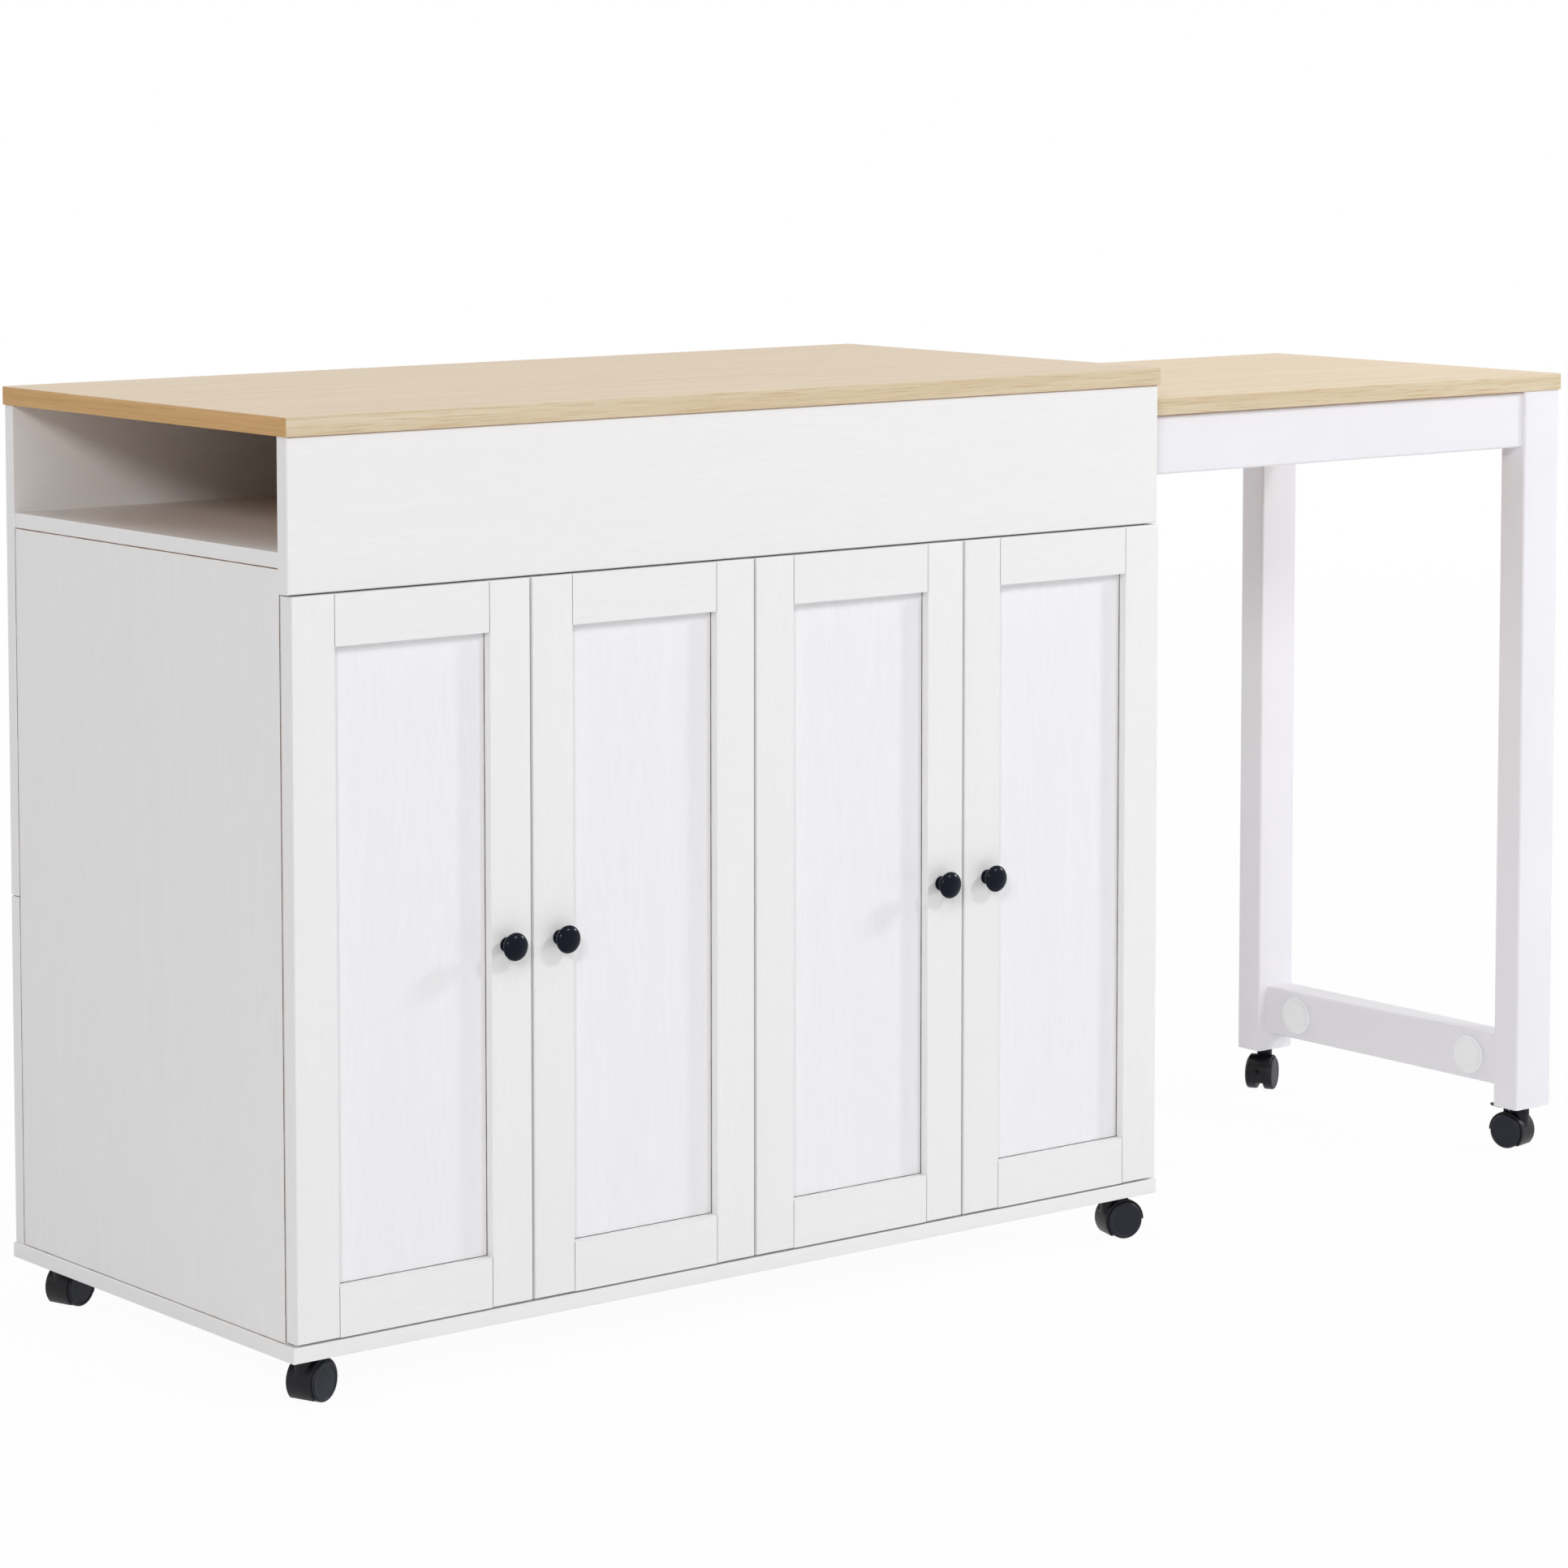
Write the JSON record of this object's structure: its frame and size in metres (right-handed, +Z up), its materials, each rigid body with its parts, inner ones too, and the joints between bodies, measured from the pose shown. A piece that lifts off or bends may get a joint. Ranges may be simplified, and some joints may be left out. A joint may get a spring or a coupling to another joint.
{
  "type": "kitchen island with slide-out table",
  "caption": "Kitchen island on swivel casters: white framed doors, oak worktop, and a lower oak table on a white steel frame that slides out of a bay in its end.",
  "frame": {"origin": "on the floor, under the middle of the box around the island with its table out and doors shut", "axes": "+X towards the table's end, -Y towards the doors, +Z up"},
  "size_m": [1.7174, 0.5346, 0.919],
  "materials": {
    "white_board": "white embossed melamine",
    "oak_laminate": "satin oak laminate",
    "white_steel": "satin powder coat",
    "knob_metal": "satin black",
    "caster_plastic": "satin black moulding",
    "wheel_plastic": "satin black moulding",
    "hinge_steel": "nickel-plated steel",
    "cap_plastic": "milky translucent",
    "glide_plastic": "smooth natural nylon"
  },
  "bodies": {
    "cabinet": {"base_board": "white_board", "left_side_panel": "white_board", "centre_partition": "white_board", "right_side_panel": "white_board", "slot_floor": "white_board", "rear_lower_board": "white_board", "rear_upper_board": "white_board", "front_fascia": "white_board", "worktop": "oak_laminate", "shelves": "white_board", "shelf_pins": "hinge_steel", "hinge_plates": "hinge_steel", "cabinet_caster_stems": "hinge_steel"},
    "table": {"table_top": "oak_laminate", "table_front_apron": "white_steel", "table_rear_apron": "white_steel", "table_inner_rail": "white_steel", "table_end_apron": "white_steel", "table_stretcher": "white_steel", "table_front_leg": "white_steel", "table_rear_leg": "white_steel", "stretcher_caps": "cap_plastic", "table_glides": "glide_plastic", "table_caster_sockets": "caster_plastic"},
    "door_1": {"door_1_stiles": "white_board", "door_1_rails": "white_board", "door_1_panel": "white_board", "door_1_knob": "knob_metal", "door_1_hinge_cups": "hinge_steel"},
    "door_2": {"door_2_stiles": "white_board", "door_2_rails": "white_board", "door_2_panel": "white_board", "door_2_knob": "knob_metal", "door_2_hinge_cups": "hinge_steel"},
    "door_3": {"door_3_stiles": "white_board", "door_3_rails": "white_board", "door_3_panel": "white_board", "door_3_knob": "knob_metal", "door_3_hinge_cups": "hinge_steel"},
    "door_4": {"door_4_stiles": "white_board", "door_4_rails": "white_board", "door_4_panel": "white_board", "door_4_knob": "knob_metal", "door_4_hinge_cups": "hinge_steel"},
    "caster_front_left": {"caster_front_left_hood": "caster_plastic"},
    "wheels_front_left": {"caster_front_left_wheels": "wheel_plastic"},
    "lever_front_left": {"caster_front_left_lever": "caster_plastic"},
    "caster_front_right": {"caster_front_right_hood": "caster_plastic"},
    "wheels_front_right": {"caster_front_right_wheels": "wheel_plastic"},
    "lever_front_right": {"caster_front_right_lever": "caster_plastic"},
    "caster_rear_left": {"caster_rear_left_hood": "caster_plastic"},
    "wheels_rear_left": {"caster_rear_left_wheels": "wheel_plastic"},
    "caster_rear_right": {"caster_rear_right_hood": "caster_plastic"},
    "wheels_rear_right": {"caster_rear_right_wheels": "wheel_plastic"},
    "caster_table_front": {"caster_table_front_hood": "caster_plastic"},
    "wheels_table_front": {"caster_table_front_wheels": "wheel_plastic"},
    "lever_table_front": {"caster_table_front_lever": "caster_plastic"},
    "caster_table_rear": {"caster_table_rear_hood": "caster_plastic"},
    "wheels_table_rear": {"caster_table_rear_wheels": "wheel_plastic"}
  },
  "joints": [
    {"name": "table_slide", "type": "slide", "parent": "cabinet", "child": "table", "axis": [-1, 0, 0], "range_m": [0, 0.584]},
    {"name": "door_1_hinge", "type": "hinge", "parent": "cabinet", "child": "door_1", "pos_m": [-0.85325, -0.24425, 0.064], "axis": [0, 0, -1], "range_deg": [0, 100]},
    {"name": "door_2_hinge", "type": "hinge", "parent": "cabinet", "child": "door_2", "pos_m": [-0.32475, -0.24425, 0.064], "axis": [0, 0, 1], "range_deg": [0, 82]},
    {"name": "door_3_hinge", "type": "hinge", "parent": "cabinet", "child": "door_3", "pos_m": [-0.31775, -0.24425, 0.064], "axis": [0, 0, -1], "range_deg": [0, 82]},
    {"name": "door_4_hinge", "type": "hinge", "parent": "cabinet", "child": "door_4", "pos_m": [0.21075, -0.24425, 0.064], "axis": [0, 0, 1], "range_deg": [0, 100]},
    {"name": "caster_front_left_swivel", "type": "hinge", "parent": "cabinet", "child": "caster_front_left", "pos_m": [-0.82475, -0.20875, 0.049], "axis": [0, 0, 1], "continuous": true},
    {"name": "caster_front_left_roll", "type": "hinge", "parent": "caster_front_left", "child": "wheels_front_left", "pos_m": [-0.81347, -0.20465, 0.0195], "axis": [0.342, -0.9397, 0], "continuous": true},
    {"name": "caster_front_left_brake", "type": "hinge", "parent": "caster_front_left", "child": "lever_front_left", "pos_m": [-0.80971, -0.20328, 0.0447], "axis": [-0.342, 0.9397, 0], "range_deg": [0, 15]},
    {"name": "caster_front_right_swivel", "type": "hinge", "parent": "cabinet", "child": "caster_front_right", "pos_m": [0.18225, -0.20875, 0.049], "axis": [0, 0, 1], "continuous": true},
    {"name": "caster_front_right_roll", "type": "hinge", "parent": "caster_front_right", "child": "wheels_front_right", "pos_m": [0.19379, -0.21206, 0.0195], "axis": [-0.2756, -0.9613, 0], "continuous": true},
    {"name": "caster_front_right_brake", "type": "hinge", "parent": "caster_front_right", "child": "lever_front_right", "pos_m": [0.19763, -0.21316, 0.0447], "axis": [0.2756, 0.9613, 0], "range_deg": [0, 15]},
    {"name": "caster_rear_left_swivel", "type": "hinge", "parent": "cabinet", "child": "caster_rear_left", "pos_m": [-0.82475, 0.23125, 0.049], "axis": [0, 0, 1], "continuous": true},
    {"name": "caster_rear_left_roll", "type": "hinge", "parent": "caster_rear_left", "child": "wheels_rear_left", "pos_m": [-0.81334, 0.23496, 0.0195], "axis": [0.309, -0.9511, 0], "continuous": true},
    {"name": "caster_rear_right_swivel", "type": "hinge", "parent": "cabinet", "child": "caster_rear_right", "pos_m": [0.18225, 0.23125, 0.049], "axis": [0, 0, 1], "continuous": true},
    {"name": "caster_rear_right_roll", "type": "hinge", "parent": "caster_rear_right", "child": "wheels_rear_right", "pos_m": [0.17037, 0.23292, 0.0195], "axis": [0.1392, 0.9903, 0], "continuous": true},
    {"name": "caster_table_front_swivel", "type": "hinge", "parent": "table", "child": "caster_table_front", "pos_m": [0.82925, -0.19525, 0.049], "axis": [0, 0, 1], "continuous": true},
    {"name": "caster_table_front_roll", "type": "hinge", "parent": "caster_table_front", "child": "wheels_table_front", "pos_m": [0.82655, -0.18356, 0.0195], "axis": [0.9744, 0.225, 0], "continuous": true},
    {"name": "caster_table_front_brake", "type": "hinge", "parent": "caster_table_front", "child": "lever_table_front", "pos_m": [0.82565, -0.17966, 0.0447], "axis": [-0.9744, -0.225, 0], "range_deg": [0, 15]},
    {"name": "caster_table_rear_swivel", "type": "hinge", "parent": "table", "child": "caster_table_rear", "pos_m": [0.82925, 0.22175, 0.049], "axis": [0, 0, 1], "continuous": true},
    {"name": "caster_table_rear_roll", "type": "hinge", "parent": "caster_table_rear", "child": "wheels_table_rear", "pos_m": [0.81896, 0.21557, 0.0195], "axis": [-0.515, 0.8572, 0], "continuous": true}
  ]
}
